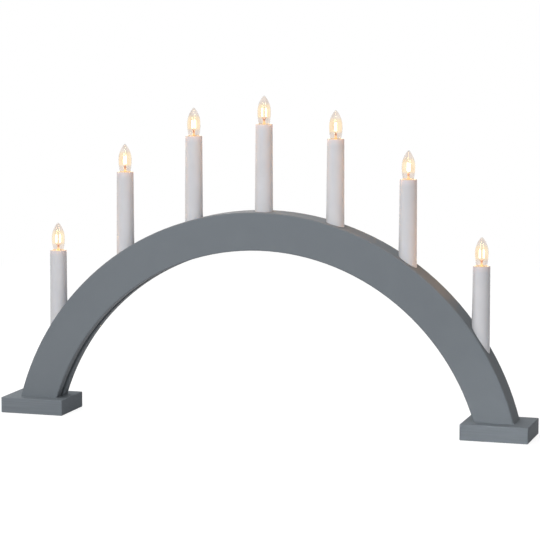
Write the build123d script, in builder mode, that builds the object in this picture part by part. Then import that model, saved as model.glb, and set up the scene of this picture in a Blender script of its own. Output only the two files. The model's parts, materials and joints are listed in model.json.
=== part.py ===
"""Electric candle arch: a painted arch of three glued boards on two feet, with seven plastic
candle sleeves, lamp holders and candle-shaped screw bulbs wired in series. Millimetres, +Z up,
front towards -Y, origin on the ground under the middle of the arch."""

import os
from math import acos, asin, atan2, cos, radians, sin, sqrt, tan

from build123d import *

os.makedirs("parts", exist_ok=True)

# Arch: three boards of one ring-shaped outline, the middle one set back to leave a groove
arch_radius = 301.5
band_width = 43.0
centre_drop = 78.0  # the curves' centre lies this far under the tops of the feet
ply_thickness = 11.6
board_easing = 1.0
groove_depth = 14.0

# Feet: blocks that the cut ends of the arch stand on
foot_length = 76.0
foot_depth = 64.0
foot_height = 18.0
foot_overhang = 18.75  # from the outer corner of the leg
foot_easing = 1.0

# Countersunk screws, up through each foot into the middle board
screw_length = 35.0
screw_radius = 2.0
screw_point = 4.0
screw_point_radius = 0.4
screw_head_radius = 3.9
screw_head_angle = 90
screw_sink = 0.4
screw_inner_inset = 6.0  # from the groove side of the middle board
screw_outer_inset = 10.2  # from the outer corner of the leg
screw_fit = 0.05

# Candle sleeves, each standing on the flat floor of a pocket bored straight down
candle_count = 7
candle_reach_share = 0.828  # sideways place of the outer candles, of the arch's radius
sleeve_height = 100.0
sleeve_foot_radius = 10.3
sleeve_rim_radius = 9.6
sleeve_bore_radius = 8.2
sleeve_mouth_radius = 7.4
sleeve_mouth_height = 6.0
sleeve_rim_easing = 0.4
pocket_clearance = 0.15
pocket_lip_depth = 1.7  # least depth of a pocket, at its downhill lip, square to the curve
wire_hole_radius = 4.5

# Lamp holder, pushed up the bore of the sleeve to the shoulder under its mouth
holder_length = 16.0
holder_flange_height = 2.0
holder_barrel_radius = 6.6
holder_rib_width = 1.6
holder_rib_count = 4
holder_fit = 0.1
holder_floor_thickness = 2.0
holder_skirt_wall = 1.2

# Contacts in the lamp holder
shell_wall = 0.3
shell_fit = 0.05
shell_length = 7.0
shell_top_inset = 0.6
tab_width = 1.6
spring_strip = 0.3
spring_width = 3.0
spring_reach = 2.6
rivet_radius = 1.0
rivet_offset = 1.1
tail_drop = 5.6  # tails of both contacts, from the floor to just under the skirt

# Bulb, measured from the rim of the sleeve
glass_height = 31.5
glass_radius = 7.5
glass_belly_height = 13.5
glass_belly_bands = 5  # straight bands that the curve from belly to tip is drawn with
glass_waist_bands = 2
glass_tip_radius = 1.8
glass_tip_height = 0.9
glass_seal_radius = 0.5
glass_neck_radius = 5.3
glass_neck_drop = 4.0
glass_wall = 0.6
glass_cavity_share = 0.66  # radius and height of the cavity's upper corner
glass_cavity_height_share = 0.74
glass_collar_depth = 1.4
cap_thread_radius = 4.76
cap_thread_fit = 0.1
cap_thread_length = 7.4
cap_collar_radius = 5.7
cap_collar_height = 2.2
cap_fit = 0.05
contact_root_radius = 3.4
contact_tip_radius = 1.7
insulator_height = 0.8
contact_tip_height = 0.9

# Lights inside the bulb: two glowing rods on the glass stem
stem_foot_radius = 2.5
stem_top_radius = 1.2
stem_height = 8.6
press_height = 2.4
press_thickness = 1.6
rod_radius = 0.8
rod_length = 11.0
rod_spacing = 4.4
bridge_thickness = 0.6
rod_turn_degrees = (20, 90, 65, 15, 95, 130, 10)

# Wiring: all of it in the arch's middle plane, in two lanes under the floor of the groove
wire_radius = 1.0
wire_sides = 8
wire_side_offset = 1.5
wire_depth = 2.0  # centreline of the first lane under the floor of the groove
wire_lane_spacing = 3.6
wire_tail_length = 8.0  # straight below the lamp holder's contacts
wire_turn_radius = 5.0
wire_bend_radius = 9.0
wire_lead_degrees = 2.2
lane_bend_share = 0.999
splice_radius = 1.7
splice_length = 9.0
splice_fit = 0.05
splice_rise = 25.5  # above the foot, in the right leg
clip_length = 6.0
clip_wall = 1.0
clip_fit = 0.05
clip_wire_gap = 0.3

overrun = 10.0  # cutters run past what they cut

# Places that follow from the sizes
candle_numbers = range(1, candle_count + 1)
centre_z = foot_height - centre_drop
inner_radius = arch_radius - band_width
groove_radius = inner_radius + groove_depth
first_lane = groove_radius - wire_depth
second_lane = first_lane - wire_lane_spacing
leg_outer_x = sqrt(arch_radius**2 - centre_drop**2)
core_inner_x = sqrt(groove_radius**2 - centre_drop**2)
foot_centre_x = leg_outer_x + foot_overhang - foot_length / 2
candle_pitch = 2 * arch_radius * candle_reach_share / (candle_count - 1)
splice_angle = acos((centre_drop + splice_rise) / first_lane)
pocket_radius = sleeve_foot_radius + pocket_clearance
holder_top = -sleeve_mouth_height
cap_collar_top = -glass_neck_drop + glass_collar_depth
cap_thread_top = cap_collar_top - cap_collar_height
cap_bottom = cap_thread_top - cap_thread_length
contact_bottom = cap_bottom - insulator_height - contact_tip_height
holder_floor_top = contact_bottom - 3 * spring_strip
holder_floor_bottom = holder_floor_top - holder_floor_thickness
tail_bottom = holder_floor_bottom - tail_drop
shell_inner_radius = cap_thread_radius + cap_thread_fit
shell_outer_radius = shell_inner_radius + shell_wall
shell_top = holder_top - shell_top_inset
holder_bore_radius = shell_outer_radius + shell_fit
tab_offset = sqrt(shell_outer_radius**2 - (tab_width / 2) ** 2) - shell_wall / 2
clip_inner_radius = second_lane - wire_radius - clip_wire_gap


def candle_x(number):
    """Sideways place of a candle, counted from 1 at the left."""
    return (number - (candle_count + 1) / 2) * candle_pitch


def pocket_floor(number):
    """Height of a pocket's floor: its downhill corner lies the lip's depth under the curve."""
    reach = abs(candle_x(number)) + pocket_radius
    return centre_z + sqrt((arch_radius - pocket_lip_depth) ** 2 - reach**2)


def rim_height(number):
    """Height of the sleeve's rim."""
    return pocket_floor(number) + sleeve_height


def candle_angle(number):
    """Angle from the top of the arch of the wire hole, which aims at the curves' centre."""
    return atan2(candle_x(number), pocket_floor(number) - centre_z)


def floor_radius(number):
    """Distance from the curves' centre to the middle of a pocket's floor."""
    return (pocket_floor(number) - centre_z) / cos(candle_angle(number))


def on_arch(radius, angle, side=0):
    """Point in the arch's plane, at a radius and angle, moved sideways along the curve."""
    across = radius * sin(angle) + side * cos(angle)
    up = centre_z + radius * cos(angle) - side * sin(angle)
    return (across, up)


def upright_plane(number, turn=0):
    """Upright plane through a candle's axis, its origin at the middle of the sleeve's rim."""
    across = (cos(radians(turn)), sin(radians(turn)), 0)
    outward = (sin(radians(turn)), -cos(radians(turn)), 0)
    return Plane(origin=(candle_x(number), 0, rim_height(number)), x_dir=across, z_dir=outward)


def rim_plane(number, height=0):
    """Level plane at a height from the sleeve's rim, centred on the candle."""
    return Plane(origin=(candle_x(number), 0, rim_height(number) + height))


def candle_axis(number):
    """Upright axis of a candle."""
    return Axis((candle_x(number), 0, 0), (0, 0, 1))


def band_face(radius):
    """Draws the arch's outline down to a given inner radius, in the open sketch."""
    with Locations((0, centre_z)):
        Circle(arch_radius)
        Circle(radius, mode=Mode.SUBTRACT)
    with Locations((0, foot_height)):
        Rectangle(
            2 * (arch_radius + overrun),
            2 * (arch_radius + overrun),
            align=(Align.CENTER, Align.MAX),
            mode=Mode.SUBTRACT,
        )


def bore_pockets():
    """Bores every sleeve's pocket out of the open part."""
    for number in candle_numbers:
        with BuildSketch(Plane.XY.offset(pocket_floor(number))) as floor:
            with Locations((candle_x(number), 0)):
                Circle(pocket_radius)
        extrude(floor.sketch, amount=sleeve_height, mode=Mode.SUBTRACT)


def build_outer_board(name, towards):
    """Front or back board: the whole band, with its painted edges eased on the outside."""
    with BuildPart() as board:
        with BuildSketch(Plane.XZ.offset(towards * ply_thickness)):
            band_face(inner_radius)
        extrude(amount=ply_thickness / 2, both=True)
        outside = board.faces().sort_by(Axis.Y)[0 if towards > 0 else -1]
        chamfer(outside.edges().filter_by(GeomType.CIRCLE), board_easing)
        bore_pockets()
    board.part.label = name
    export_step(board.part, f"parts/{name}.step")


def build_core_board():
    """Middle board: set back at the inside to leave the groove, drilled for wires and screws."""
    with BuildPart() as core:
        with BuildSketch(Plane.XZ):
            band_face(groove_radius)
        extrude(amount=ply_thickness / 2, both=True)
        bore_pockets()
        for number in candle_numbers:
            angle = candle_angle(number)
            across, up = on_arch(groove_radius - overrun, angle)
            drill = Plane(origin=(across, 0, up), z_dir=(sin(angle), 0, cos(angle)))
            depth = floor_radius(number) - groove_radius + overrun
            slant = wire_hole_radius * tan(abs(angle))
            with BuildSketch(drill):
                Circle(wire_hole_radius)
            extrude(amount=depth + slant, mode=Mode.SUBTRACT)
        for across in screw_places():
            with BuildSketch(Plane.XY.offset(foot_height)):
                with Locations((across, 0)):
                    Circle(screw_radius + screw_fit)
            extrude(amount=screw_length + screw_sink - foot_height + screw_fit, mode=Mode.SUBTRACT)
    core.part.label = "core_board"
    export_step(core.part, "parts/core_board.step")


def screw_places():
    """Sideways places of the foot screws, two in each leg."""
    inner = core_inner_x + screw_inner_inset
    outer = leg_outer_x - screw_outer_inset
    return (-outer, -inner, inner, outer)


def build_foot(name, side):
    """Block with eased edges and two countersunk screw holes in its underside."""
    with BuildPart() as foot:
        with BuildSketch(Plane.XY):
            with Locations((side * foot_centre_x, 0)):
                Rectangle(foot_length, foot_depth)
        extrude(amount=foot_height)
        fillet(foot.edges().filter_by(Axis.Z), foot_easing)
        fillet(foot.faces().sort_by(Axis.Z)[-1].edges(), foot_easing)
        chamfer(foot.faces().sort_by(Axis.Z)[0].edges(), foot_easing / 2)
        places = [across for across in screw_places() if across * side > 0]
        with Locations(*[Plane((across, 0, 0), z_dir=(0, 0, -1)) for across in places]):
            CounterSinkHole(
                screw_radius + screw_fit,
                screw_head_radius + screw_fit + screw_sink,
                depth=foot_height,
                counter_sink_angle=screw_head_angle,
            )
    foot.part.label = name
    export_step(foot.part, f"parts/{name}.step")


def build_foot_screws():
    """Countersunk wood screws, heads just inside the undersides of the feet."""
    cone_height = (screw_head_radius - screw_radius) / tan(radians(screw_head_angle / 2))
    with BuildPart() as screws:
        for across in screw_places():
            with BuildSketch(Plane.XZ.shift_origin((across, 0, 0))):
                with BuildLine():
                    Polyline(
                        (0, screw_sink),
                        (screw_head_radius, screw_sink),
                        (screw_radius, screw_sink + cone_height),
                        (screw_radius, screw_sink + screw_length - screw_point),
                        (screw_point_radius, screw_sink + screw_length),
                        (0, screw_sink + screw_length),
                        close=True,
                    )
                make_face()
            revolve(axis=Axis((across, 0, 0), (0, 0, 1)))
    screws.part.label = "foot_screws"
    export_step(screws.part, "parts/foot_screws.step")


def build_sleeve(number):
    """Tapered tube with an in-turned mouth and an eased rim."""
    with BuildPart() as sleeve:
        with BuildSketch(upright_plane(number)):
            with BuildLine():
                Polyline(
                    (sleeve_mouth_radius, 0),
                    (sleeve_rim_radius, 0),
                    (sleeve_foot_radius, -sleeve_height),
                    (sleeve_bore_radius, -sleeve_height),
                    (sleeve_bore_radius, -sleeve_mouth_height),
                    (sleeve_mouth_radius, -sleeve_mouth_height),
                    close=True,
                )
            make_face()
        revolve(axis=candle_axis(number))
        rim = sleeve.faces().filter_by(GeomType.PLANE).sort_by(Axis.Z)[-1]
        chamfer(rim.edges().sort_by(SortBy.LENGTH)[-1], sleeve_rim_easing)
    sleeve.part.label = f"candle_sleeve_{number}"
    export_step(sleeve.part, f"parts/candle_sleeve_{number}.step")


def build_holder(number):
    """Moulded lamp holder: flange, barrel with centring ribs, socket, floor and hollow skirt."""
    flange_radius = sleeve_bore_radius - holder_fit
    rib_length = holder_length - holder_flange_height
    rib_reach = flange_radius - holder_barrel_radius
    bottom = holder_top - holder_length
    with BuildPart() as holder:
        with BuildSketch(rim_plane(number, holder_top)):
            Circle(flange_radius)
        extrude(amount=-holder_flange_height)
        with BuildSketch(rim_plane(number, bottom)):
            Circle(holder_barrel_radius)
            with PolarLocations(holder_barrel_radius, holder_rib_count):
                Rectangle(2 * rib_reach, holder_rib_width)
            Circle(flange_radius, mode=Mode.INTERSECT)
        extrude(amount=rib_length)
        with BuildSketch(rim_plane(number, holder_top)):
            Circle(holder_bore_radius)
        extrude(amount=holder_floor_top - holder_top, mode=Mode.SUBTRACT)
        with BuildSketch(rim_plane(number, bottom)):
            Circle(holder_barrel_radius - holder_skirt_wall)
        extrude(amount=holder_floor_bottom - bottom, mode=Mode.SUBTRACT)
        with BuildSketch(rim_plane(number, holder_floor_top)):
            with Locations((-rivet_offset, 0)):
                Circle(rivet_radius + shell_fit)
            with Locations((tab_offset, 0)):
                Rectangle(shell_wall + 2 * shell_fit, tab_width + 2 * shell_fit)
        extrude(amount=-holder_floor_thickness, mode=Mode.SUBTRACT)
    holder.part.label = f"lamp_holder_{number}"
    export_step(holder.part, f"parts/lamp_holder_{number}.step")


def build_shell_contacts():
    """Brass screw shells that the bulbs' threads turn in, each with a tab through the floor."""
    with BuildPart() as shells:
        for number in candle_numbers:
            with BuildSketch(rim_plane(number, tail_bottom)):
                with Locations((tab_offset, 0)):
                    Rectangle(shell_wall, tab_width)
            extrude(amount=shell_top - tail_bottom)
            with BuildSketch(rim_plane(number, shell_top)):
                Circle(shell_outer_radius)
            extrude(amount=-shell_length)
            with BuildSketch(rim_plane(number, shell_top)):
                Circle(shell_inner_radius)
            extrude(amount=-shell_length, mode=Mode.SUBTRACT)
    shells.part.label = "shell_contacts"
    export_step(shells.part, "parts/shell_contacts.step")


def build_centre_contacts():
    """Brass leaf springs under the bulbs' tips, each riveted through the floor."""
    base = holder_floor_top
    with BuildPart() as springs:
        for number in candle_numbers:
            with BuildSketch(upright_plane(number)):
                with BuildLine():
                    Polyline(
                        (-spring_reach, base),
                        (rivet_radius, base),
                        (rivet_radius, base + spring_strip),
                        (-spring_reach / 2, base + spring_strip),
                        (spring_reach / 2, contact_bottom),
                        (-rivet_radius, contact_bottom),
                        (-spring_reach, base + spring_strip),
                        close=True,
                    )
                make_face()
            extrude(amount=spring_width / 2, both=True)
            with BuildSketch(rim_plane(number, tail_bottom)):
                with Locations((-rivet_offset, 0)):
                    Circle(rivet_radius)
            extrude(amount=base - tail_bottom)
    springs.part.label = "centre_contacts"
    export_step(springs.part, "parts/centre_contacts.step")


def glass_curve(end_radius, end_height, bands):
    """Points of the arc that leaves the belly upright and ends at a radius and height."""
    narrowing = glass_radius - end_radius
    rise = end_height - glass_belly_height
    arc_radius = (narrowing**2 + rise**2) / (2 * narrowing)
    sweep_angle = asin(rise / arc_radius)
    angles = [sweep_angle * step / bands for step in range(1, bands + 1)]
    return [
        (glass_radius - arc_radius * (1 - cos(a)), glass_belly_height + arc_radius * sin(a))
        for a in angles
    ]


def build_bulb_glass(number):
    """Hollow candle-flame envelope with a pointed tip, fused at its neck to the stem inside."""
    neck_foot = -glass_neck_drop
    upper = glass_curve(glass_tip_radius, glass_height - glass_tip_height, glass_belly_bands)
    lower = glass_curve(glass_neck_radius, cap_collar_top, glass_waist_bands)
    cavity_foot = neck_foot + glass_wall
    press_foot = cavity_foot + stem_height
    cavity_radius = glass_radius - glass_wall
    with BuildPart() as glass:
        with BuildSketch(upright_plane(number)):
            with BuildLine():
                Polyline(
                    (0, neck_foot),
                    (glass_neck_radius, neck_foot),
                    *reversed(lower),
                    (glass_radius, glass_belly_height),
                    *upper,
                    (glass_seal_radius, glass_height),
                    (0, glass_height),
                    close=True,
                )
            make_face()
            with BuildLine():
                Polyline(
                    (stem_foot_radius, cavity_foot),
                    (glass_neck_radius - glass_wall, cavity_foot),
                    (cavity_radius, glass_belly_height),
                    (cavity_radius * glass_cavity_share, glass_height * glass_cavity_height_share),
                    (glass_seal_radius, glass_height - 2 * glass_tip_height),
                    (0, glass_height - 2 * glass_tip_height),
                    (0, press_foot),
                    (stem_top_radius, press_foot),
                    close=True,
                )
            make_face(mode=Mode.SUBTRACT)
        revolve(axis=candle_axis(number))
        with BuildSketch(upright_plane(number, rod_turn(number))):
            with BuildLine():
                Polyline(
                    (-stem_top_radius, press_foot),
                    (stem_top_radius, press_foot),
                    (rod_spacing / 2 + rod_radius, press_foot + press_height),
                    (-rod_spacing / 2 - rod_radius, press_foot + press_height),
                    close=True,
                )
            make_face()
        extrude(amount=press_thickness / 2, both=True)
    glass.part.label = f"bulb_glass_{number}"
    export_step(glass.part, f"parts/bulb_glass_{number}.step")


def rod_turn(number):
    """Angle about the candle's axis at which a bulb's two rods came to stand."""
    return rod_turn_degrees[(number - 1) % len(rod_turn_degrees)]


def build_bulb_rods(number):
    """Two glowing rods, standing on the stem's flat press and joined at the top."""
    rod_foot = glass_wall - glass_neck_drop + stem_height + press_height
    with BuildPart() as rods:
        with BuildSketch(rim_plane(number, rod_foot).rotated((0, 0, rod_turn(number)))):
            with GridLocations(rod_spacing, 0, 2, 1):
                Circle(rod_radius)
        extrude(amount=rod_length)
        with BuildSketch(rim_plane(number, rod_foot + rod_length).rotated((0, 0, rod_turn(number)))):
            Rectangle(rod_spacing, bridge_thickness)
        extrude(amount=-bridge_thickness)
    rods.part.label = f"bulb_rods_{number}"
    export_step(rods.part, f"parts/bulb_rods_{number}.step")


def build_bulb_cap(number):
    """Screw cap: a collar round the neck of the glass over the threaded part."""
    with BuildPart() as cap:
        with BuildSketch(rim_plane(number, cap_bottom)):
            Circle(cap_thread_radius)
        extrude(amount=cap_thread_length)
        with BuildSketch(rim_plane(number, cap_thread_top)):
            Circle(cap_collar_radius)
        extrude(amount=cap_collar_height)
        with BuildSketch(rim_plane(number, cap_collar_top)):
            Circle(glass_neck_radius + cap_fit)
        extrude(amount=-glass_collar_depth, mode=Mode.SUBTRACT)
    cap.part.label = f"bulb_cap_{number}"
    export_step(cap.part, f"parts/bulb_cap_{number}.step")


def build_bulb_contact(number):
    """Insulating cone and soldered tip at the bottom of the bulb."""
    root = cap_bottom - insulator_height
    with BuildPart() as contact:
        with BuildSketch(upright_plane(number)):
            with BuildLine():
                Polyline(
                    (0, cap_bottom),
                    (contact_root_radius, cap_bottom),
                    (contact_tip_radius, root),
                    (contact_tip_radius, contact_bottom),
                    (0, contact_bottom),
                    close=True,
                )
            make_face()
        revolve(axis=candle_axis(number))
    contact.part.label = f"bulb_contact_{number}"
    export_step(contact.part, f"parts/bulb_contact_{number}.step")


def down_the_candle(number, side):
    """Points and bend radii of a wire from a contact's tail down into the core's slanted hole."""
    across = candle_x(number) + (tab_offset if side > 0 else -rivet_offset)
    top = rim_height(number) + tail_bottom
    angle = candle_angle(number)
    mouth = on_arch(floor_radius(number) + side * tan(angle / 2), angle, side)
    return [(across, top), (across, top - wire_tail_length), mouth], [wire_bend_radius] * 2


def lane_entry(number, side, towards, lane):
    """Corner where a wire's line through the hole meets the straight lead into its lane."""
    lead = radians(wire_lead_degrees)
    radius = (lane - towards * side * sin(lead)) / cos(lead)
    return on_arch(radius, candle_angle(number), side)


def lane_middle(first, last, lane):
    """Corner whose fillet, of the lane's own radius, is the run along the groove."""
    return on_arch(lane / cos((last - first) / 2), (first + last) / 2)


def sweep_wire(points, bends):
    """One unbroken wire in the arch's middle plane, added to the open part."""
    with BuildLine(Plane.XZ) as route:
        FilletPolyline(*points, radius=bends)
    path = route.wire()
    with BuildSketch(Plane(origin=path @ 0, z_dir=path % 0)) as section:
        RegularPolygon(wire_radius, wire_sides)
    sweep(section.sketch, path=path)
    print("wire of length", round(path.length, 1), "with bends of radius", bends)


def build_jumper_wires():
    """Wires from each lamp to the next, in the first lane of the groove."""
    lead = radians(wire_lead_degrees)
    with BuildPart() as jumpers:
        for number in candle_numbers[:-1]:
            first, first_bends = down_the_candle(number, wire_side_offset)
            last, last_bends = down_the_candle(number + 1, -wire_side_offset)
            away = candle_angle(number) + lead
            back = candle_angle(number + 1) - lead
            points = [
                *first,
                lane_entry(number, wire_side_offset, 1, first_lane),
                lane_middle(away, back, first_lane),
                lane_entry(number + 1, -wire_side_offset, -1, first_lane),
                *reversed(last),
            ]
            turns = [wire_turn_radius, first_lane, wire_turn_radius]
            sweep_wire(points, [*first_bends, *turns, *last_bends])
    jumpers.part.label = "jumper_wires"
    export_step(jumpers.part, "parts/jumper_wires.step")


def run_to_splice(number, side, lane, turn_radius, arcs):
    """Wire from a lamp along its lane, in equal arcs, to its splice in the right leg."""
    points, bends = down_the_candle(number, side)
    start = candle_angle(number) + radians(wire_lead_degrees)
    step = (splice_angle - start) / arcs
    corners = [lane_middle(start + i * step, start + (i + 1) * step, lane) for i in range(arcs)]
    end = on_arch(lane, splice_angle, splice_length / 2)
    points = [*points, lane_entry(number, side, 1, lane), *corners, end]
    sweep_wire(points, [*bends, turn_radius, *[lane * lane_bend_share] * arcs])


def build_supply_wires():
    """Feed wire to the last lamp and return wire from the first, which end in the splices."""
    with BuildPart() as supply:
        run_to_splice(candle_count, wire_side_offset, first_lane, wire_turn_radius, 1)
        run_to_splice(1, -wire_side_offset, second_lane, wire_bend_radius, candle_count)
    supply.part.label = "supply_wires"
    export_step(supply.part, "parts/supply_wires.step")


def groove_plane(angle, radius):
    """Plane square to the groove's run at an angle, its X across the arch and Y outward."""
    across, up = on_arch(radius, angle)
    return Plane(origin=(across, 0, up), x_dir=(0, 1, 0), z_dir=(cos(angle), 0, -sin(angle)))


def build_splices():
    """Crimped sleeves where the supply wires meet the lead's two cores."""
    with BuildPart() as splices:
        with BuildSketch(groove_plane(splice_angle, first_lane)):
            with Locations((0, 0), (0, -wire_lane_spacing)):
                Circle(splice_radius)
                Circle(wire_radius + splice_fit, mode=Mode.SUBTRACT)
        extrude(amount=splice_length)
    splices.part.label = "wire_splices"
    export_step(splices.part, "parts/wire_splices.step")


def build_clips():
    """Channel-shaped clips pushed into the groove midway between candles to hold the wires up."""
    angles = [(candle_angle(n) + candle_angle(n + 1)) / 2 for n in candle_numbers[:-1]]
    width = ply_thickness - 2 * clip_fit
    height = groove_radius - clip_inner_radius - clip_fit
    with BuildPart() as clips:
        for angle in angles:
            with BuildSketch(groove_plane(angle, clip_inner_radius)):
                Rectangle(width, height, align=(Align.CENTER, Align.MIN))
                Rectangle(
                    width - 2 * clip_wall, height, align=(Align.CENTER, Align.MIN), mode=Mode.SUBTRACT
                )
                Rectangle(width, clip_wall, align=(Align.CENTER, Align.MAX))
            extrude(amount=clip_length / 2, both=True)
    clips.part.label = "wire_clips"
    export_step(clips.part, "parts/wire_clips.step")


build_outer_board("front_board", 1)
build_outer_board("back_board", -1)
build_core_board()
build_foot("foot_left", -1)
build_foot("foot_right", 1)
build_foot_screws()
for number in candle_numbers:
    build_sleeve(number)
    build_holder(number)
    build_bulb_glass(number)
    build_bulb_cap(number)
    build_bulb_contact(number)
    build_bulb_rods(number)
build_shell_contacts()
build_centre_contacts()
build_jumper_wires()
build_supply_wires()
build_splices()
build_clips()
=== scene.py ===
"""Looks of the candle arch: painted boards and feet, white candles, clear glowing bulbs."""

import json
import math

import bpy
from mathutils import Matrix, Vector


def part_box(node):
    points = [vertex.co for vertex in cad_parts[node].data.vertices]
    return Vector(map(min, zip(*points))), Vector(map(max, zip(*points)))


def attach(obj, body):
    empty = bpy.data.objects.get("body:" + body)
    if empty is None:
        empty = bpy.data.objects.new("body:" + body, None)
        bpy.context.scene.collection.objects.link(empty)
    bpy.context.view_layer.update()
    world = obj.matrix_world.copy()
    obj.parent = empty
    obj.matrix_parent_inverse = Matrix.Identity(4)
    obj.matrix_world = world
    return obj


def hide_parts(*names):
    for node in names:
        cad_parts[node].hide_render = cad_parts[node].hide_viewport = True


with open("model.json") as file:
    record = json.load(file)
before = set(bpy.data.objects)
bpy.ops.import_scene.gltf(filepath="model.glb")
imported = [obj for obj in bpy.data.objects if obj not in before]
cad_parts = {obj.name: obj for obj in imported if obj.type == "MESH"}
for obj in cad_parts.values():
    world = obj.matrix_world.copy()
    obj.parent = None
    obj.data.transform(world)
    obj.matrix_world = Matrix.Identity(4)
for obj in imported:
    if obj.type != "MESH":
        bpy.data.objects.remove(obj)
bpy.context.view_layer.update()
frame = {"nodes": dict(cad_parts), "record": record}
MM = 0.001


# Sizes of the bulb in millimetres, with heights from the rim of its sleeve
glass_top = 31.5
glass_radius = 7.5
glass_belly = 13.5
glass_neck_radius = 5.3
glass_neck_foot = -4.0
neck_outside = glass_neck_foot + 0.05
neck_inside = glass_neck_foot + 0.6
glass_wall = 0.5
cap_crest = 4.76
cap_root = 4.42
cap_pitch = 1.814
cap_top = -4.8
cap_foot = -12.2
collar_radius = 5.7
collar_top = -2.6
stem_foot_radius = 2.5
press_foot = 5.2
press_top = 7.6
rod_spacing = 4.4
rod_length = 11.0

# Degrees that the pair of rods is turned in each bulb, from candle 1 to candle 7
rod_turns = (20, 90, 65, 15, 95, 130, 10)
candle_numbers = range(1, 8)

# Sizes of the arch and its sleeves, in millimetres
arch_radius = 301.5
groove_radius = 272.5
foot_top = 18.0
foot_over_centre = 78.0
arch_centre = foot_top - foot_over_centre
sleeve_height = 100.0
sleeve_rim_radius = 9.62
sleeve_bore = 8.2
mouth_radius = 7.4
mouth_depth = 6.0

# Sizes of the wires: two lanes in the groove, and two tails at each lamp with heights from its rim
first_lane = 270.5
second_lane = 266.9
wire_radius = 1.0
wire_sides = 14
wire_offset = 1.5
wire_lead = math.radians(2.2)
splice_rise = 25.5
splice_angle = math.acos((foot_over_centre + splice_rise) / first_lane)
into_splice = 4.5
tail_bottom = -22.4
tail_drop = 8.0
tail_bend = 9.0
tab_offset = 4.95
rivet_offset = 1.1
first_lane_bend = 5.0
second_lane_bend = 9.0

# Points round a turned surface, and the radius of its last ring in place of a point on the axis
fine_round = 96
plain_round = 48
near_axis = 0.02


def new_mesh(name, points, faces, smooth_degrees=40):
    """Mesh object from points in millimetres, smooth but for edges sharper than an angle."""
    mesh = bpy.data.meshes.new(name)
    mesh.from_pydata([Vector(p) * MM for p in points], [], faces)
    mesh.validate()
    mesh.shade_smooth()
    mesh.set_sharp_from_angle(angle=math.radians(smooth_degrees))
    made = bpy.data.objects.new(name, mesh)
    bpy.context.scene.collection.objects.link(made)
    return made


def ring_faces(rows, segments, wrap=False):
    """Quads between rows of points, each a closed ring of as many segments."""
    faces = []
    for row in range(rows if wrap else rows - 1):
        low = row * segments
        high = (row + 1) % rows * segments
        for i in range(segments):
            j = (i + 1) % segments
            faces.append((low + i, low + j, high + j, high + i))
    return faces


def capped_faces(rows, segments):
    """Quads between rows of points, and a face over each end."""
    faces = ring_faces(rows, segments)
    faces.append(tuple(reversed(range(segments))))
    faces.append(tuple((rows - 1) * segments + i for i in range(segments)))
    return faces


def circle(radius, height, segments, place):
    """Level ring of points."""
    ring = []
    for k in range(segments):
        a = 2 * math.pi * k / segments
        ring.append((place[0] + radius * math.cos(a), place[1] + radius * math.sin(a), place[2] + height))
    return ring


def lathe(name, outline, segments, wrap, place, smooth_degrees=40):
    """Surface of revolution of (radius, height) points, which keeps each point's height for its material.

    A wrapped outline closes on itself.
    """
    points = []
    for radius, height in outline:
        points += circle(radius, height, segments, place)
    made = new_mesh(name, points, ring_faces(len(outline), segments, wrap), smooth_degrees)
    heights = made.data.attributes.new("above_rim", "FLOAT", "POINT")
    heights.data.foreach_set("value", [h for _, h in outline for _ in range(segments)])
    return made


def arc(centre, radius, start, end, steps):
    """Points of an arc between two angles in degrees."""
    angles = [math.radians(start + (end - start) * i / steps) for i in range(steps + 1)]
    return [(centre[0] + radius * math.cos(a), centre[1] + radius * math.sin(a)) for a in angles]


def belly_curve(end_radius, end_height, steps, inset=0.0):
    """Arc from the bulb's belly, where it is upright, to an end radius and height."""
    narrowing = glass_radius - end_radius
    rise = end_height - glass_belly
    radius = (narrowing**2 + rise**2) / (2 * narrowing)
    turn = math.asin(rise / radius)
    centre = glass_radius - radius
    out = []
    for i in range(steps + 1):
        a = turn * i / steps
        out.append((centre + (radius - inset) * math.cos(a), glass_belly + (radius - inset) * math.sin(a)))
    return out


def candle(number):
    """Axis and rim of a candle in millimetres, from its CAD node."""
    low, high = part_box(f"candle_sleeve_{number}")
    return (low.x + high.x) / 2 / MM, 0.0, high.z / MM


def material(name, **values):
    """Principled material with the given socket values."""
    made = bpy.data.materials.new(name)
    made.use_nodes = True
    shader = made.node_tree.nodes["Principled BSDF"]
    for socket, value in values.items():
        shader.inputs[socket.replace("_", " ")].default_value = value
    return made


def add(mat, kind, **values):
    """New node in a material, with socket values by name."""
    node = mat.node_tree.nodes.new(kind)
    for socket, value in values.items():
        node.inputs[socket.replace("_", " ")].default_value = value
    return node


def link(mat, source, target):
    """Joins an output socket to an input socket."""
    mat.node_tree.links.new(source, target)


def shader_of(mat):
    """Principled shader of a material."""
    return mat.node_tree.nodes["Principled BSDF"]


def noise(mat, scale, detail=3.0, stretch=(1, 1, 1)):
    """Noise over the object's own coordinates, stretched along the axes."""
    place = mat.node_tree.nodes.new("ShaderNodeTexCoord")
    mapping = add(mat, "ShaderNodeMapping", Scale=stretch)
    made = add(mat, "ShaderNodeTexNoise", Scale=scale, Detail=detail)
    link(mat, place.outputs["Object"], mapping.inputs["Vector"])
    link(mat, mapping.outputs["Vector"], made.inputs["Vector"])
    return made


def ramp(mat, source, low, high, first, last):
    """Colour that goes from first to last as the source goes from low to high."""
    made = mat.node_tree.nodes.new("ShaderNodeValToRGB")
    made.color_ramp.elements[0].position = low
    made.color_ramp.elements[0].color = (*first, 1)
    made.color_ramp.elements[1].position = high
    made.color_ramp.elements[1].color = (*last, 1)
    link(mat, source, made.inputs["Fac"])
    return made.outputs["Color"]


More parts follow.
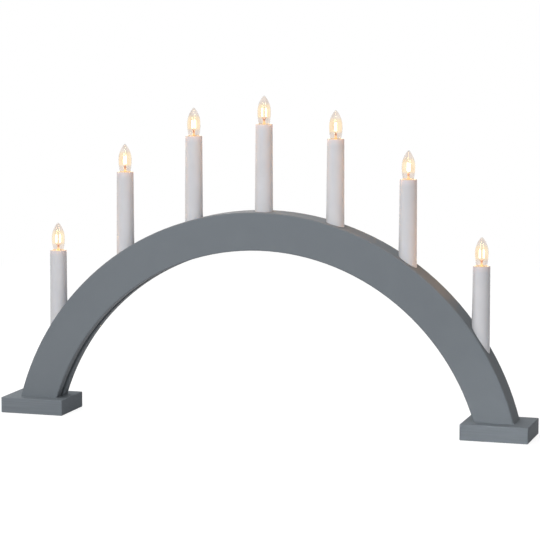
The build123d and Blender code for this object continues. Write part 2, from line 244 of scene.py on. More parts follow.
def above_rim(mat, low, high, first, last):
    """Colour that goes from first to last between two heights over the rim, in millimetres."""
    height = mat.node_tree.nodes.new("ShaderNodeAttribute")
    height.attribute_name = "above_rim"
    share = add(mat, "ShaderNodeMapRange")
    share.inputs["From Min"].default_value = low
    share.inputs["From Max"].default_value = high
    share.interpolation_type = "SMOOTHSTEP"
    link(mat, height.outputs["Fac"], share.inputs["Value"])
    return ramp(mat, share.outputs["Result"], 0.0, 1.0, first, last)


def painted_mouth_glow(mat, colour):
    """Painted glow of the bulb's light: colour that is full inside a sleeve's mouth and black outside it.
    """
    share = mat.node_tree.nodes.new("ShaderNodeAttribute")
    share.attribute_name = "in_mouth"
    return ramp(mat, share.outputs["Fac"], 0.0, 1.0, (0, 0, 0), colour)


def blend(mat, kind, first, second, share=1.0):
    """Two colours mixed, multiplied or added."""
    mix = mat.node_tree.nodes.new("ShaderNodeMix")
    mix.data_type = "RGBA"
    mix.blend_type = kind
    if isinstance(share, float):
        mix.inputs[0].default_value = share
    else:
        link(mat, share, mix.inputs[0])
    link(mat, first, mix.inputs[6])
    link(mat, second, mix.inputs[7])
    return mix.outputs[2]


def bump(mat, source, strength, distance):
    """Small relief on a material's shader."""
    made = add(mat, "ShaderNodeBump", Strength=strength, Distance=distance)
    link(mat, source, made.inputs["Height"])
    link(mat, made.outputs["Normal"], shader_of(mat).inputs["Normal"])


def painted_board():
    """Satin grey paint on board: rolled grain, faint mottling and a warm sheen where it is seen flat."""
    made = material("painted_board", Roughness=0.58, Specular_IOR_Level=0.05)
    shader = shader_of(made)
    shader.inputs["Sheen Weight"].default_value = 0.21
    shader.inputs["Sheen Roughness"].default_value = 0.2
    shader.inputs["Sheen Tint"].default_value = (1.0, 0.9, 0.84, 1)
    mottle = noise(made, 38.0, 4.0)
    tone = ramp(made, mottle.outputs["Fac"], 0.3, 0.7, (0.162, 0.180, 0.197), (0.169, 0.188, 0.204))
    link(made, tone, shader.inputs["Base Color"])
    grain = noise(made, 900.0, 2.0)
    bump(made, grain.outputs["Fac"], 0.12, 0.0002)
    return made


def painted_block():
    """The same paint on the sawn feet, where the wood's grain shows through along their length."""
    made = material("painted_block", Roughness=0.58, Specular_IOR_Level=0.05)
    lines = noise(made, 700.0, 3.0, (0.035, 1, 1)).outputs["Fac"]
    tone = ramp(made, lines, 0.3, 0.7, (0.158, 0.177, 0.194), (0.182, 0.202, 0.220))
    link(made, tone, shader_of(made).inputs["Base Color"])
    bump(made, lines, 0.25, 0.0003)
    return made


def candle_plastic():
    """White moulded candle sleeve, a little translucent, with the bulb's light painted on: a warm tint and
    a faint glow at its rim, and a glow in its mouth.
    """
    made = material("candle_plastic", Roughness=0.12, Specular_IOR_Level=0.5)
    shader = shader_of(made)
    mottle = noise(made, 45.0, 3.0).outputs["Fac"]
    tone = ramp(made, mottle, 0.3, 0.7, (0.54, 0.54, 0.56), (0.575, 0.575, 0.595))
    # Painted light: the rim's colour is tinted warm for the bulb's light
    lamplit = above_rim(made, -1.2, -0.2, (1, 1, 1), (1, 0.90, 0.75))
    link(made, blend(made, "MULTIPLY", tone, lamplit), shader.inputs["Base Color"])
    shader.inputs["Subsurface Weight"].default_value = 0.1
    shader.inputs["Subsurface Radius"].default_value = (0.004, 0.003, 0.002)
    shader.inputs["Subsurface Scale"].default_value = 1.0
    # Painted glow: faint warm emission just below the rim, and a stronger one in the mouth, for the bulb's
    # light
    warm = above_rim(made, -8.0, -0.3, (0, 0, 0), (0.09, 0.03, 0.02))
    inside = painted_mouth_glow(made, (0.42, 0.37, 0.22))
    link(made, blend(made, "ADD", warm, inside), shader.inputs["Emission Color"])
    shader.inputs["Emission Strength"].default_value = 1.0
    flow = noise(made, 60.0, 2.0, (1, 1, 0.1))
    bump(made, flow.outputs["Fac"], 0.05, 0.0002)
    return made


def holder_plastic():
    """Off-white moulded plastic of the lamp holders."""
    made = material("holder_plastic", Roughness=0.5)
    tone = ramp(made, noise(made, 120.0).outputs["Fac"], 0.3, 0.7, (0.62, 0.61, 0.57), (0.68, 0.67, 0.63))
    link(made, tone, shader_of(made).inputs["Base Color"])
    return made


def bulb_glass():
    """Clear blown glass with faint waves, with painted light: a warm tint and a glow in its belly for the
    rods' light, and painted shade where it is seen at a grazing angle.
    """
    made = material("bulb_glass", Roughness=0.0, IOR=1.45, Transmission_Weight=1.0)
    shader = shader_of(made)
    patches = noise(made, 160.0, 2.0, (1, 1, 0.6)).outputs["Fac"]
    ends = ramp(made, patches, 0.35, 0.65, (0.83, 0.775, 0.735), (0.94, 0.89, 0.85))
    # Painted light: the belly band, from 5 to 24.5 mm over the rim, is tinted warm for the rods' light
    belly = ramp(made, patches, 0.35, 0.65, (0.965, 0.85, 0.70), (0.99, 0.915, 0.78))
    rise = above_rim(made, 5.0, 9.0, (0, 0, 0), (1, 1, 1))
    fall = above_rim(made, 20.0, 24.5, (1, 1, 1), (0, 0, 0))
    band = blend(made, "MULTIPLY", rise, fall)
    # Painted shade: the glass turns darker and browner where it is seen at a grazing angle
    facing = made.node_tree.nodes.new("ShaderNodeLayerWeight")
    facing.inputs["Blend"].default_value = 0.5
    painted_edge_shade = ramp(made, facing.outputs["Facing"], 0.5, 0.95, (1, 1, 1), (0.86, 0.68, 0.54))
    tint = blend(made, "MIX", ends, belly, band)
    link(made, blend(made, "MULTIPLY", tint, painted_edge_shade), shader.inputs["Base Color"])
    # Painted glow: warm emission in the belly, up to the rods' tops, for the rods' light caught in the
    # glass
    caught = ramp(made, patches, 0.3, 0.7, (0.007, 0.004, 0.001), (0.030, 0.021, 0.009))
    rods = above_rim(made, 16.0, 21.0, (1, 1, 1), (0, 0, 0))
    lit = blend(made, "MULTIPLY", rise, rods)
    link(made, blend(made, "MULTIPLY", caught, lit), shader.inputs["Emission Color"])
    shader.inputs["Emission Strength"].default_value = 1.0
    waves = noise(made, 90.0, 2.0, (1, 1, 0.25))
    bump(made, waves.outputs["Fac"], 0.25, 0.0006)
    return made


def stem_glass():
    """Glass of the stem and its flat press, with the rods' orange light painted on as its colour and a
    glow.
    """
    made = material("stem_glass", Roughness=0.05, IOR=1.45, Transmission_Weight=0.8)
    shader = shader_of(made)
    grain = ramp(made, noise(made, 300.0).outputs["Fac"], 0.3, 0.7, (0.85, 0.85, 0.85), (1, 1, 1))
    # Painted light: low on the stem the glass is tinted orange to brown for the rods' light, and the press
    # above stays pale
    low = above_rim(made, 2.0, 5.0, (0.95, 0.78, 0.56), (0.60, 0.32, 0.18))
    press = above_rim(made, 5.4, 6.6, (0, 0, 0), (1, 1, 1))
    pale = above_rim(made, 5.0, 8.0, (0.95, 0.88, 0.80), (1.0, 0.95, 0.86))
    tone = blend(made, "MIX", low, pale, press)
    link(made, blend(made, "MULTIPLY", tone, grain), shader.inputs["Base Color"])
    # Painted glow: orange emission for the rods' light in the stem
    glow = above_rim(made, 1.0, 5.0, (0.40, 0.20, 0.06), (0.13, 0.04, 0.015))
    link(made, glow, shader.inputs["Emission Color"])
    shader.inputs["Emission Strength"].default_value = 1.0
    return made


def glowing_rod():
    """Warm white light of the rods."""
    made = material("glowing_rod", Roughness=0.6)
    shader = shader_of(made)
    shader.inputs["Base Color"].default_value = (1.0, 0.75, 0.3, 1)
    shader.inputs["Emission Color"].default_value = (1.0, 0.68, 0.30, 1)
    shader.inputs["Emission Strength"].default_value = 32.0
    return made


def metal(name, colour, roughness):
    """Metal with a faintly uneven finish."""
    made = material(name, Metallic=1.0)
    shader_of(made).inputs["Base Color"].default_value = (*colour, 1)
    spots = noise(made, 300.0)
    tone = ramp(made, spots.outputs["Fac"], 0.2, 0.8, (roughness * 0.8,) * 3, (roughness * 1.3,) * 3)
    link(made, tone, shader_of(made).inputs["Roughness"])
    return made


def dark_insulator():
    """Black glass insulator in the bulb's foot."""
    made = material("dark_insulator", Roughness=0.15)
    tone = ramp(made, noise(made, 400.0).outputs["Fac"], 0.3, 0.7, (0.01, 0.01, 0.014), (0.03, 0.03, 0.04))
    link(made, tone, shader_of(made).inputs["Base Color"])
    return made


def wire_insulation():
    """White soft insulation."""
    made = material("wire_insulation", Roughness=0.4)
    tone = ramp(made, noise(made, 200.0).outputs["Fac"], 0.3, 0.7, (0.66, 0.66, 0.65), (0.73, 0.73, 0.72))
    link(made, tone, shader_of(made).inputs["Base Color"])
    return made


def clip_plastic():
    """Milky clip plastic."""
    made = material("clip_plastic", Roughness=0.45, Transmission_Weight=0.3)
    tone = ramp(made, noise(made, 150.0).outputs["Fac"], 0.3, 0.7, (0.60, 0.61, 0.62), (0.68, 0.69, 0.70))
    link(made, tone, shader_of(made).inputs["Base Color"])
    return made


def make_materials():
    """The usual finish of each of the record's slots."""
    return {
        "painted_board": painted_board(),
        "candle_white": candle_plastic(),
        "holder_plastic": holder_plastic(),
        "clear_glass": bulb_glass(),
        "glow": glowing_rod(),
        "cap_metal": metal("cap_metal", (0.72, 0.70, 0.66), 0.28),
        "contact_brass": metal("contact_brass", (0.72, 0.50, 0.20), 0.3),
        "tip_solder": metal("tip_solder", (0.55, 0.55, 0.56), 0.45),
        "wire_white": wire_insulation(),
        "screw_steel": metal("screw_steel", (0.62, 0.58, 0.48), 0.35),
        "clip_clear": clip_plastic(),
    }


materials = make_materials()

# Finishes of pieces that share a slot with others and look different; the black one also paints the shade
# in each screw's cross recess
insulator = dark_insulator()
block_paint = painted_block()
orange_stem = stem_glass()


def dress(piece, slot_name, body=None, own=None):
    """Gives a piece its finish, that of its record slot unless it has its own, and the body that it rides
    on.
    """
    piece.data.materials.clear()
    piece.data.materials.append(own or materials[slot_name])
    if body:
        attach(piece, body)


def smooth_group():
    """Geometry nodes that join doubled points and shade smooth except over sharp edges."""
    group = bpy.data.node_groups.new("smooth_by_angle", "GeometryNodeTree")
    group.interface.new_socket("Geometry", in_out="INPUT", socket_type="NodeSocketGeometry")
    group.interface.new_socket("Geometry", in_out="OUTPUT", socket_type="NodeSocketGeometry")
    start = group.nodes.new("NodeGroupInput")
    end = group.nodes.new("NodeGroupOutput")
    merge = group.nodes.new("GeometryNodeMergeByDistance")
    merge.inputs["Distance"].default_value = 0.000002
    angle = group.nodes.new("GeometryNodeInputMeshEdgeAngle")
    compare = group.nodes.new("FunctionNodeCompare")
    compare.operation = "LESS_THAN"
    sharp_angle = math.radians(28)
    compare.inputs["B"].default_value = sharp_angle
    faces = group.nodes.new("GeometryNodeSetShadeSmooth")
    faces.domain = "FACE"
    edges = group.nodes.new("GeometryNodeSetShadeSmooth")
    edges.domain = "EDGE"
    links = group.links
    links.new(start.outputs[0], merge.inputs["Geometry"])
    links.new(merge.outputs["Geometry"], faces.inputs["Geometry"])
    links.new(angle.outputs["Unsigned Angle"], compare.inputs["A"])
    links.new(faces.outputs["Geometry"], edges.inputs["Geometry"])
    links.new(compare.outputs["Result"], edges.inputs["Shade Smooth"])
    links.new(edges.outputs["Geometry"], end.inputs[0])
    return group


def dress_cad_nodes():
    """Finishes and smooth shading for every node of the CAD."""
    slots = {row["node"]: row["material_slot"] for row in frame["record"]["subparts"]}
    group = smooth_group()
    for name, node in frame["nodes"].items():
        own = block_paint if name in ("foot_left", "foot_right") else None
        dress(node, slots[name], own=own)
        modifier = node.modifiers.new("smooth_by_angle", "NODES")
        modifier.node_group = group


def build_sleeve(number):
    """Candle sleeve that narrows a little to its rounded rim, with a lip turned in at its mouth."""
    x, y, rim = candle(number)
    low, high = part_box(f"candle_sleeve_{number}")
    foot = low.z / MM - rim
    foot_radius = (high.x - low.x) / 2 / MM
    foot_bevel = 0.3
    rim_round = 0.8
    lip_round = 0.5
    rim_dip = 0.02
    wall_steps = 20
    wall = []
    for i in range(1, wall_steps):
        radius = foot_radius + (sleeve_rim_radius - foot_radius) * i / wall_steps
        wall.append((radius, foot + (-rim_round - foot) * i / wall_steps))
    outline = [
        (sleeve_bore, foot),
        (foot_radius - foot_bevel, foot),
        (foot_radius, foot + foot_bevel),
        *wall,
        *arc((sleeve_rim_radius - rim_round, -rim_round), rim_round, 0, 90, steps=8),
        (sleeve_bore, -rim_dip),
        *arc((mouth_radius + lip_round, -lip_round), lip_round, 90, 180, steps=6),
        (mouth_radius, -mouth_depth),
        (sleeve_bore, -mouth_depth),
    ]
    sleeve = lathe(f"sleeve_{number}", outline, fine_round, wrap=True, place=(x, y, rim))
    # Where the bulb's light is painted on the sleeve as a glow: inside its mouth
    lit_radius = 8.9
    lit_depth = 7.0
    shares = [1.0 if radius < lit_radius and height > -lit_depth else 0.0 for radius, height in outline]
    inside = sleeve.data.attributes.new("in_mouth", "FLOAT", "POINT")
    inside.data.foreach_set("value", [share for share in shares for _ in range(fine_round)])
    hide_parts(f"candle_sleeve_{number}")
    dress(sleeve, "candle_white", "arch")


def build_envelope(number):
    """Thin blown envelope with a sealed tip, fused at its neck to the stem."""
    place = candle(number)
    seal_radius = 1.5
    seal_height = glass_top - 0.75
    upper_steps = 26
    lower_steps = 14
    stem_hole = stem_foot_radius + 0.02
    upper = belly_curve(seal_radius, seal_height, upper_steps)
    lower = belly_curve(glass_neck_radius, collar_top, lower_steps)
    upper_in = belly_curve(seal_radius, seal_height, upper_steps, glass_wall)
    lower_in = belly_curve(glass_neck_radius, collar_top, lower_steps, glass_wall)
    tip = [
        (1.15, glass_top - 0.42),
        (0.75, glass_top - 0.16),
        (0.35, glass_top - 0.03),
        (near_axis, glass_top),
    ]
    inner_top = upper_in[-1][1]
    tip_in = [(0.6, inner_top + 0.25), (near_axis, inner_top + 0.35)]
    outline = [
        (stem_hole, neck_outside),
        (glass_neck_radius, neck_outside),
        *reversed(lower),
        *upper[1:],
        *tip,
        *reversed(tip_in),
        *reversed(upper_in),
        *lower_in[1:],
        (glass_neck_radius - glass_wall, neck_inside),
        (stem_hole, neck_inside),
    ]
    envelope = lathe(f"envelope_{number}", outline, fine_round, wrap=True, place=place, smooth_degrees=50)
    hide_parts(f"bulb_glass_{number}")
    dress(envelope, "clear_glass", f"bulb_{number}")
    envelope.visible_shadow = False


def build_stem(number):
    """Flared glass stem, pinched flat at its top round the leads of the rods."""
    x, y, rim = candle(number)
    turn = math.radians(rod_turns[number - 1])
    sides = 32
    tube_radius = 1.2
    flare_steps = 10
    press_steps = 8
    press_widening = 1.3
    press_thinning = 0.55
    press_squareness = 0.75

    # Each row is its height, half its width, half its thickness and how square it is, where 1 is round
    rows = [(neck_outside, stem_foot_radius, stem_foot_radius, 1.0)]
    for row in range(flare_steps + 1):
        share = row / flare_steps
        radius = tube_radius + (stem_foot_radius - tube_radius) * (1 - share) ** 2.5
        rows.append((neck_inside + (press_foot - neck_inside) * share, radius, radius, 1.0))
    for row in range(1, press_steps + 1):
        share = row / press_steps
        wide = tube_radius + press_widening * share**0.7
        thick = tube_radius - press_thinning * share
        rows.append((press_foot + (press_top - press_foot) * share, wide, thick, press_squareness))
    points = []
    for height, wide, thick, square in rows:
        for i in range(sides):
            a = 2 * math.pi * i / sides
            across = wide * math.copysign(abs(math.cos(a)) ** square, math.cos(a))
            deep = thick * math.copysign(abs(math.sin(a)) ** square, math.sin(a))
            px = across * math.cos(turn) - deep * math.sin(turn)
            py = across * math.sin(turn) + deep * math.cos(turn)
            points.append((x + px, y + py, rim + height))
    faces = capped_faces(len(rows), sides)
    stem = new_mesh(f"stem_{number}", points, faces, smooth_degrees=60)
    heights = stem.data.attributes.new("above_rim", "FLOAT", "POINT")
    heights.data.foreach_set("value", [row[0] for row in rows for _ in range(sides)])
    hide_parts(f"bulb_glass_{number}")
    dress(stem, "clear_glass", f"bulb_{number}", orange_stem)


def rod_outline(foot, length, radius):
    """Outline of a rod with rounded ends."""
    angles = [math.radians(degrees) for degrees in (5, 30, 60, 90)]
    low = [(radius * math.sin(a), foot + radius * (1 - math.cos(a))) for a in angles]
    high = [(r, 2 * foot + length - h) for r, h in reversed(low)]
    return low + high


def join(name, objects):
    """One object out of several."""
    with bpy.context.temp_override(active_object=objects[0], selected_editable_objects=objects):
        bpy.ops.object.join()
    objects[0].name = name
    objects[0].data.name = name
    return objects[0]


def build_rods(number):
    """Two glowing rods with metal ends, joined at the top by a short bent lead."""
    x, y, rim = candle(number)
    turn = math.radians(rod_turns[number - 1])
    end_gap = 0.9
    rod_radius = 0.62
    rod_sides = 24
    rod = rod_outline(press_top + end_gap, rod_length - 2 * end_gap, rod_radius)
    ferrule_foot = press_top + 0.35
    ferrule_length = 0.9
    ferrule_radius = 0.45
    ferrule_sides = 16
    ferrule = rod_outline(ferrule_foot, ferrule_length, ferrule_radius)
    lead_radius = 0.22
    lead_sides = 10
    lead_foot = rim + press_foot + 0.6
    lead_top = rim + press_top + 1.2
    rods = []
    leads = []
    for side in (-1, 1):
        px = x + side * rod_spacing / 2 * math.cos(turn)
        py = y + side * rod_spacing / 2 * math.sin(turn)
        rods.append(lathe("rod", rod, rod_sides, wrap=False, place=(px, py, rim)))
        leads.append(tube("lead", [(px, py, lead_foot), (px, py, lead_top)], lead_radius, lead_sides))
        leads.append(lathe("ferrule", ferrule, ferrule_sides, wrap=False, place=(px, py, rim)))
    bridge_foot = rim + press_top + rod_length - 1.1
    bridge_rise = 0.9
    bridge_steps = 12
    bridge = []
    for i in range(bridge_steps + 1):
        a = math.pi * i / bridge_steps
        across = -rod_spacing / 2 * math.cos(a)
        height = bridge_foot + bridge_rise * math.sin(a)
        bridge.append((x + across * math.cos(turn), y + across * math.sin(turn), height))
    leads.append(tube("bridge", bridge, lead_radius, lead_sides))
    pair = join(f"rods_{number}", rods)
    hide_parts(f"bulb_rods_{number}")
    dress(pair, "glow", f"bulb_{number}")
    pair.visible_diffuse = False
    wires = join(f"rod_leads_{number}", leads)
    dress(wires, "cap_metal", f"bulb_{number}")


def tube(name, route, radius, sides):
    """Closed round tube along a route of points."""
    points = []
    count = len(route)
    up = Vector((0, 1, 0))
    nearly_parallel = 0.2
    for i, here in enumerate(route):
        before = Vector(route[max(i - 1, 0)])
        after = Vector(route[min(i + 1, count - 1)])
        along = (after - before).normalized()
        side = along.cross(up)
        if side.length < nearly_parallel:
            side = along.cross(Vector((1, 0, 0)))
        side.normalize()
        other = along.cross(side).normalized()
        for k in range(sides):
            a = 2 * math.pi * k / sides
            points.append(Vector(here) + side * (radius * math.cos(a)) + other * (radius * math.sin(a)))
    return new_mesh(name, points, capped_faces(count, sides), smooth_degrees=50)


def threaded(name, crest, root, pitch, foot, top, place, segments, low_end, high_end):
    """Screw-threaded surface between two heights, with plain (radius, height) rows at both ends."""
    rows_per_turn = 10
    steps = round((top - foot) / pitch * rows_per_turn)
    rows = []
    for i in range(steps + 1):
        height = foot + (top - foot) * i / steps
        fade = min(1.0, (height - foot) / pitch, (top - height) / pitch)
        rows.append((height, max(0.0, fade)))
    points = []
    for radius, height in low_end:
        points += circle(radius, height, segments, place)
    for height, fade in rows:
        for k in range(segments):
            turn = k / segments
            wave = 0.5 + 0.5 * math.cos(2 * math.pi * ((height - foot) / pitch - turn))
            radius = root + (crest - root) * (wave * fade)
            a = 2 * math.pi * turn
            across = place[0] + radius * math.cos(a)
            along = place[1] + radius * math.sin(a)
            points.append((across, along, place[2] + height))
    for radius, height in high_end:
        points += circle(radius, height, segments, place)
    faces = ring_faces(len(points) // segments, segments)
    return new_mesh(name, points, faces, smooth_degrees=45)


def on_arch(radius, angle, side=0.0):
    """Point in the arch's plane at a radius and angle from its top, moved sideways."""
    across = radius * math.sin(angle) + side * math.cos(angle)
    up = arch_centre + radius * math.cos(angle) - side * math.sin(angle)
    return Vector((across, 0, up))


def build_cap(number):
    """Rolled screw cap with a plain collar."""
    place = candle(number)
    insulator_hole = 3.42
    foot_bend = 4.1
    lower_bevel = 0.25
    upper_bevel = 0.2
    neck_seat = glass_neck_radius + 0.05
    low_end = [(insulator_hole, cap_foot), (foot_bend, cap_foot), (cap_root, cap_foot + 0.35)]
    high_end = [
        (cap_root, cap_top - 0.05),
        (collar_radius - lower_bevel, cap_top),
        (collar_radius, cap_top + lower_bevel),
        (collar_radius, collar_top - upper_bevel),
        (collar_radius - upper_bevel, collar_top),
        (neck_seat, collar_top),
        (neck_seat, glass_neck_foot),
        (near_axis, glass_neck_foot),
    ]
    thread_foot = cap_foot + 0.4
    thread_top = cap_top - 0.1
    cap = threaded(
        f"screw_cap_{number}", cap_crest, cap_root, cap_pitch, thread_foot, thread_top, place, plain_round,
        low_end, high_end,
    )
    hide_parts(f"bulb_cap_{number}")
    dress(cap, "cap_metal", f"bulb_{number}")


def build_tip(number):
    """Black insulator and solder bead at the bulb's foot."""
    place = candle(number)
    bead_seat = cap_foot - 0.8
    cone = [
        (near_axis, cap_foot),
        (3.4, cap_foot),
        (3.3, cap_foot - 0.15),
        (1.75, bead_seat),
        (near_axis, bead_seat),
    ]
    cone_piece = lathe(f"tip_insulator_{number}", cone, plain_round, wrap=False, place=place)
    dress(cone_piece, "tip_solder", f"bulb_tip_{number}", insulator)
    bead = [
        (1.68, bead_seat),
        (1.7, bead_seat - 0.3),
        (1.5, bead_seat - 0.7),
        (0.9, bead_seat - 0.87),
        (near_axis, bead_seat - 0.9),
    ]
    bead_piece = lathe(f"tip_bead_{number}", bead, plain_round, wrap=False, place=place)
    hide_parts(f"bulb_contact_{number}")
    dress(bead_piece, "tip_solder", f"bulb_tip_{number}")


def candle_line(number):
    """Angle of a candle's wire hole and the distance of its pocket's floor from the centre."""
    x, y, rim = candle(number)
    height = rim - sleeve_height - arch_centre
    angle = math.atan2(x, height)
    return angle, height / math.cos(angle)


def lane_corner(angle, side, towards, lane):
    """Corner where a wire's line through its hole meets the lead into its lane."""
    radius = (lane - towards * side * math.sin(wire_lead)) / math.cos(wire_lead)
    return on_arch(radius, angle, side)


def lane_tangents(start, stop, lane):
    """Corner of the two tangents of an arc of the lane."""
    return on_arch(lane / math.cos((stop - start) / 2), (start + stop) / 2)


def down_the_candle(number, side):
    """Corners and bend radii of a wire from its contact's tail to the core's slanted hole."""
    x, y, rim = candle(number)
    across = x + (tab_offset if side > 0 else -rivet_offset)
    tail = rim + tail_bottom
    angle, floor = candle_line(number)
    mouth = on_arch(floor + side * math.tan(angle / 2), angle, side)
    corners = [Vector((across, 0, tail)), Vector((across, 0, tail - tail_drop)), mouth]
    return corners, [tail_bend, tail_bend]


def rounded(corners, radii):
    """Route through corners, each rounded by its own arc; wide arcs take finer steps, in degrees."""
    wide_radius = 50.0
    wide_step = 1.2
    tight_step = 8.0
    route = [corners[0]]
    for before, here, after, radius in zip(corners, corners[1:], corners[2:], radii):
        back = (before - here).normalized()
        ahead = (after - here).normalized()
        half = back.angle(ahead) / 2
        centre = here + (back + ahead).normalized() * (radius / math.sin(half))
        reach = radius / math.tan(half)
        first = here + back * reach - centre
        last = here + ahead * reach - centre
        turn = first.angle(last)
        step = wide_step if radius > wide_radius else tight_step
        steps = max(3, math.ceil(math.degrees(turn) / step))
        for i in range(steps + 1):
            share = i / steps
            mixed = first * math.sin((1 - share) * turn) + last * math.sin(share * turn)
            route.append(centre + mixed / math.sin(turn))
    route.append(corners[-1])
    return route


def build_jumpers():
    """Round wires from each lamp to the next, in the first lane of the groove."""
    wires = []
    for number in candle_numbers[:-1]:
        first, first_bends = down_the_candle(number, wire_offset)
        last, last_bends = down_the_candle(number + 1, -wire_offset)
        start = candle_line(number)[0]
        stop = candle_line(number + 1)[0]
        corners = [
            *first,
            lane_corner(start, wire_offset, 1, first_lane),
            lane_tangents(start + wire_lead, stop - wire_lead, first_lane),
            lane_corner(stop, -wire_offset, -1, first_lane),
            *reversed(last),
        ]
        bends = [*first_bends, first_lane_bend, first_lane, first_lane_bend, *last_bends]
        wires.append(tube("wire", rounded(corners, bends), wire_radius, wire_sides))
    pieces = join("lamp_wires", wires)
    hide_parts("jumper_wires")
    dress(pieces, "wire_white", "arch")


def run_to_splice(number, side, lane, lane_bend, arcs):
    """Wire from a lamp along its lane, in so many arcs, to its splice in the right leg."""
    corners, bends = down_the_candle(number, side)
    angle = candle_line(number)[0]
    corners.append(lane_corner(angle, side, 1, lane))
    start = angle + wire_lead
    step = (splice_angle - start) / arcs
    corners += [lane_tangents(start + i * step, start + (i + 1) * step, lane) for i in range(arcs)]
    corners.append(on_arch(lane, splice_angle, into_splice))

    # A little under the lane's own radius, so that arcs next to each other don't overlap
    lane_radius = lane * 0.999
    bends += [lane_bend] + [lane_radius] * arcs
    return tube("wire", rounded(corners, bends), wire_radius, wire_sides)


def build_supply():
    """Feed and return wires that end in the splices."""
    feed = run_to_splice(candle_numbers[-1], wire_offset, first_lane, first_lane_bend, arcs=1)
    back = run_to_splice(candle_numbers[0], -wire_offset, second_lane, second_lane_bend, arcs=7)
    pieces = join("feed_wires", [feed, back])
    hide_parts("supply_wires")
    dress(pieces, "wire_white", "arch")


def build_screw(x):
    """Countersunk wood screw with a coarse thread, and a thin cross-shaped sheet at its head that stands
    for the shade in its cross recess.
    """
    sides = 40
    face = 0.4
    crest = 1.98
    root = 1.35
    pitch = 2.2
    thread_foot = face + 7.2
    thread_top = face + 33.0
    head = [
        (near_axis, face + 1.5),
        (0.5, face + 1.4),
        (0.9, face),
        (3.6, face),
        (3.88, face + 0.12),
        (2.0, face + 1.95),
        (crest, face + 7.0),
    ]
    point = [(1.1, face + 33.2), (0.4, face + 34.6), (near_axis, face + 35.0)]
    screw = threaded("screw", crest, root, pitch, thread_foot, thread_top, (x, 0, 0), sides, head, point)
    reach = 1.9
    width = 0.34
    half_depth = 0.02
    # Painted shade: the cross recess is no hollow but a sheet 0.04 mm thick, made black in build_screws
    recess_shade_arms = []
    for crosswise in (False, True):
        points = []
        for height in (face - half_depth, face + half_depth):
            for sx, sy in ((-1, -1), (1, -1), (1, 1), (-1, 1)):
                c, d = (-width * sy, reach * sx) if crosswise else (reach * sx, width * sy)
                points.append((x + c, d, height))
        faces = [(0, 1, 2, 3), (7, 6, 5, 4), (0, 4, 5, 1), (1, 5, 6, 2), (2, 6, 7, 3), (3, 7, 4, 0)]
        recess_shade_arms.append(new_mesh("recess", points, faces))
    return screw, recess_shade_arms


def build_screws():
    """Four screws under the feet, the shade in each cross recess painted as a black sheet."""
    inner_inset = 6.0
    outer_inset = 10.2
    inner = math.sqrt(groove_radius**2 - foot_over_centre**2) + inner_inset
    outer = math.sqrt(arch_radius**2 - foot_over_centre**2) - outer_inset
    screws = []
    recess_shades = []
    for x in (-outer, -inner, inner, outer):
        screw, recess_shade_arms = build_screw(x)
        screws.append(screw)
        recess_shades += recess_shade_arms
    heads = join("wood_screws", screws)
    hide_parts("foot_screws")
    dress(heads, "screw_steel", "arch")
    # Painted shade: the cross sheets take the black insulator's finish
    dress(join("screw_recess_shade", recess_shades), "screw_steel", "arch", insulator)


dress_cad_nodes()
for number in candle_numbers:
    build_sleeve(number)
    build_envelope(number)
    build_stem(number)
    build_rods(number)
    build_cap(number)
    build_tip(number)
build_jumpers()
build_supply()
build_screws()


def plain_rays(tree):
    """One for rays that come from the camera, a reflection or a refraction, else nought."""
    paths = tree.nodes.new("ShaderNodeLightPath")
    total = paths.outputs["Is Camera Ray"]
    for name in ("Is Glossy Ray", "Is Transmission Ray"):
        either = tree.nodes.new("ShaderNodeMath")
        either.operation = "MAXIMUM"
        tree.links.new(total, either.inputs[0])
        tree.links.new(paths.outputs[name], either.inputs[1])
        total = either.outputs[0]
    return total


def fade_outwards(tree, distance, near, distant):
    """Value that goes from near to distant between 0.5 and 1.6 metres from the middle of the arch."""
    fade = tree.nodes.new("ShaderNodeMapRange")
    for socket, value in (("From Min", 0.5), ("From Max", 1.6), ("To Min", near), ("To Max", distant)):
        fade.inputs[socket].default_value = value
    tree.links.new(distance, fade.inputs["Value"])
    return fade.outputs["Result"]


def build_stage():
    """Pale floor under the arch, white to the eye but for the arch's soft shadow."""
    floor_size = 12.0
    under_feet = 0.0003
    bpy.ops.mesh.primitive_plane_add(size=floor_size, location=(0, 0, -under_feet))
    floor = bpy.context.object
    floor.name = "floor"
    paint = bpy.data.materials.new("floor_paint")
    paint.use_nodes = True
    tree = paint.node_tree
    tree.nodes.remove(tree.nodes["Principled BSDF"])
    dull = tree.nodes.new("ShaderNodeBsdfDiffuse")
    dull.inputs["Color"].default_value = (0.45, 0.45, 0.46, 1)
    shadow = tree.nodes.new("ShaderNodeBsdfDiffuse")
    place = tree.nodes.new("ShaderNodeTexCoord")
    far = tree.nodes.new("ShaderNodeVectorMath")
    far.operation = "LENGTH"
    glow = fade_outwards(tree, far.outputs["Value"], 0.88, 1.0)
    shade = fade_outwards(tree, far.outputs["Value"], 0.24, 0.0)
    white = tree.nodes.new("ShaderNodeEmission")
    white.inputs["Color"].default_value = (1, 1, 1, 1)
    tree.links.new(place.outputs["Object"], far.inputs[0])
    tree.links.new(glow, white.inputs["Strength"])
    tree.links.new(shade, shadow.inputs["Color"])
    lit = tree.nodes.new("ShaderNodeAddShader")
    mix = tree.nodes.new("ShaderNodeMixShader")
    tree.links.new(shadow.outputs[0], lit.inputs[0])
    tree.links.new(white.outputs[0], lit.inputs[1])
    tree.links.new(plain_rays(tree), mix.inputs["Fac"])
    tree.links.new(dull.outputs[0], mix.inputs[1])
    tree.links.new(lit.outputs[0], mix.inputs[2])
    tree.links.new(mix.outputs[0], tree.nodes["Material Output"].inputs["Surface"])
    floor.data.materials.append(paint)


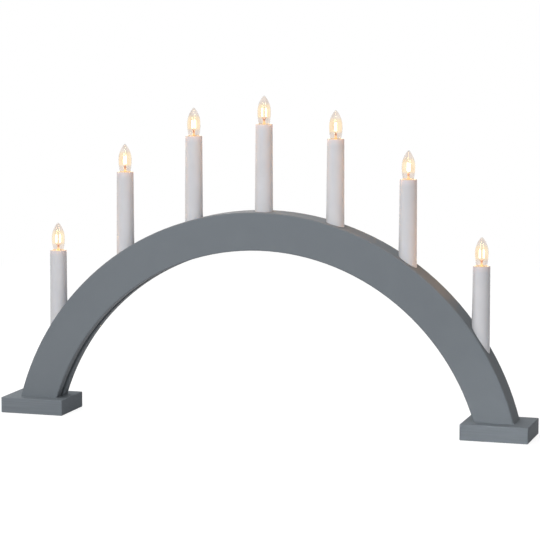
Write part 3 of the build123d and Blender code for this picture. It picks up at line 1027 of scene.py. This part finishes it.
def build_world():
    """White backdrop for the eye and for reflections, a soft grey surround for diffuse light."""
    world = bpy.data.worlds.new("surround")
    world.use_nodes = True
    tree = world.node_tree
    back = tree.nodes["Background"]
    back.inputs["Color"].default_value = (1, 1, 1, 1)
    back.inputs["Strength"].default_value = 1.0
    surround = tree.nodes.new("ShaderNodeBackground")
    surround.inputs["Color"].default_value = (0.97, 0.98, 1.0, 1)
    surround.inputs["Strength"].default_value = 0.22
    mix = tree.nodes.new("ShaderNodeMixShader")
    tree.links.new(plain_rays(tree), mix.inputs["Fac"])
    tree.links.new(surround.outputs[0], mix.inputs[1])
    tree.links.new(back.outputs[0], mix.inputs[2])
    tree.links.new(mix.outputs[0], tree.nodes["World Output"].inputs["Surface"])
    bpy.context.scene.world = world


def softbox(name, place, aim, size, power, colour):
    """Rectangular light of a size in metres and a power in watts, aimed at a point."""
    light = bpy.data.lights.new(name, "AREA")
    light.shape = "RECTANGLE"
    light.size, light.size_y = size
    light.energy = power
    light.color = colour
    made = bpy.data.objects.new(name, light)
    made.location = place
    made.rotation_mode = "QUATERNION"
    made.rotation_quaternion = (Vector(aim) - Vector(place)).to_track_quat("-Z", "Y")
    hide_from_lenses(made)
    bpy.context.scene.collection.objects.link(made)


def hide_from_lenses(lamp):
    """Keeps a lamp out of the picture, of reflections and of the view through glass."""
    lamp.visible_camera = False
    lamp.visible_glossy = False
    lamp.visible_transmission = False


def near_soft(light):
    """Softens a lamp close by, where the whole glass glows and not one point."""
    light.use_nodes = True
    tree = light.node_tree
    falloff = tree.nodes.new("ShaderNodeLightFalloff")
    falloff.inputs["Strength"].default_value = 1.0
    falloff.inputs["Smooth"].default_value = 0.0045
    tree.links.new(falloff.outputs["Quadratic"], tree.nodes["Emission"].inputs["Strength"])


def bulb_lights():
    """Warm light that each lit bulb throws on its neighbours and on the arch."""
    for number in candle_numbers:
        x, y, rim = candle(number)
        light = bpy.data.lights.new(f"bulb_light_{number}", "POINT")
        light.shadow_soft_size = 0.006
        light.energy = 0.19
        near_soft(light)
        light.color = (1.0, 0.48, 0.17)
        made = bpy.data.objects.new(f"bulb_light_{number}", light)
        made.location = Vector((x, y, rim + glass_belly)) * MM
        hide_from_lenses(made)
        bpy.context.scene.collection.objects.link(made)


def build_lights():
    """Softboxes above, in front and behind, a small light on the right foot, and the lit bulbs."""
    warm_white = (1, 0.985, 0.97)
    cool_white = (0.98, 0.99, 1.0)
    softbox("top_light", (-0.6, -0.4, 1.7), (0, 0, 0.15), (1.6, 1.2), 17.0, warm_white)
    softbox("front_light", (0.15, -2.4, 0.6), (0.2, 0, 0.15), (1.0, 1.0), 40.0, cool_white)
    softbox("back_light", (-1.2, 2.2, 0.9), (0, 0, 0.15), (1.4, 1.2), 40.0, cool_white)
    softbox("foot_light", (0.42, -0.8, 0.14), (0.28, -0.03, 0), (0.1, 0.1), 0.016, cool_white)
    bpy.data.lights["foot_light"].spread = math.radians(18)
    bulb_lights()


def build_camera():
    """Camera a little to the right and above, from a long lens."""
    turn = math.radians(17.184)
    rise = math.radians(6.941)
    roll = math.radians(0.125)
    target = Vector((0.00727, 0, 0.17525))
    distance = 2.5212
    away = Vector((math.sin(turn) * math.cos(rise), -math.cos(turn) * math.cos(rise), math.sin(rise)))
    data = bpy.data.cameras.new("camera")
    data.sensor_width = 36.0
    data.lens = 149.16
    data.clip_end = 50.0
    camera = bpy.data.objects.new("camera", data)
    level = (-away).cross(Vector((0, 0, 1))).normalized()
    upright = level.cross(-away)
    right = level * math.cos(roll) + upright * math.sin(roll)
    above = upright * math.cos(roll) - level * math.sin(roll)
    camera.rotation_euler = Matrix((right, above, away)).transposed().to_euler()
    camera.location = target + away * distance
    bpy.context.scene.collection.objects.link(camera)
    bpy.context.scene.camera = camera


build_stage()
build_world()
build_lights()
build_camera()
bpy.context.scene.view_settings.view_transform = "Standard"

bpy.context.view_layer.update()
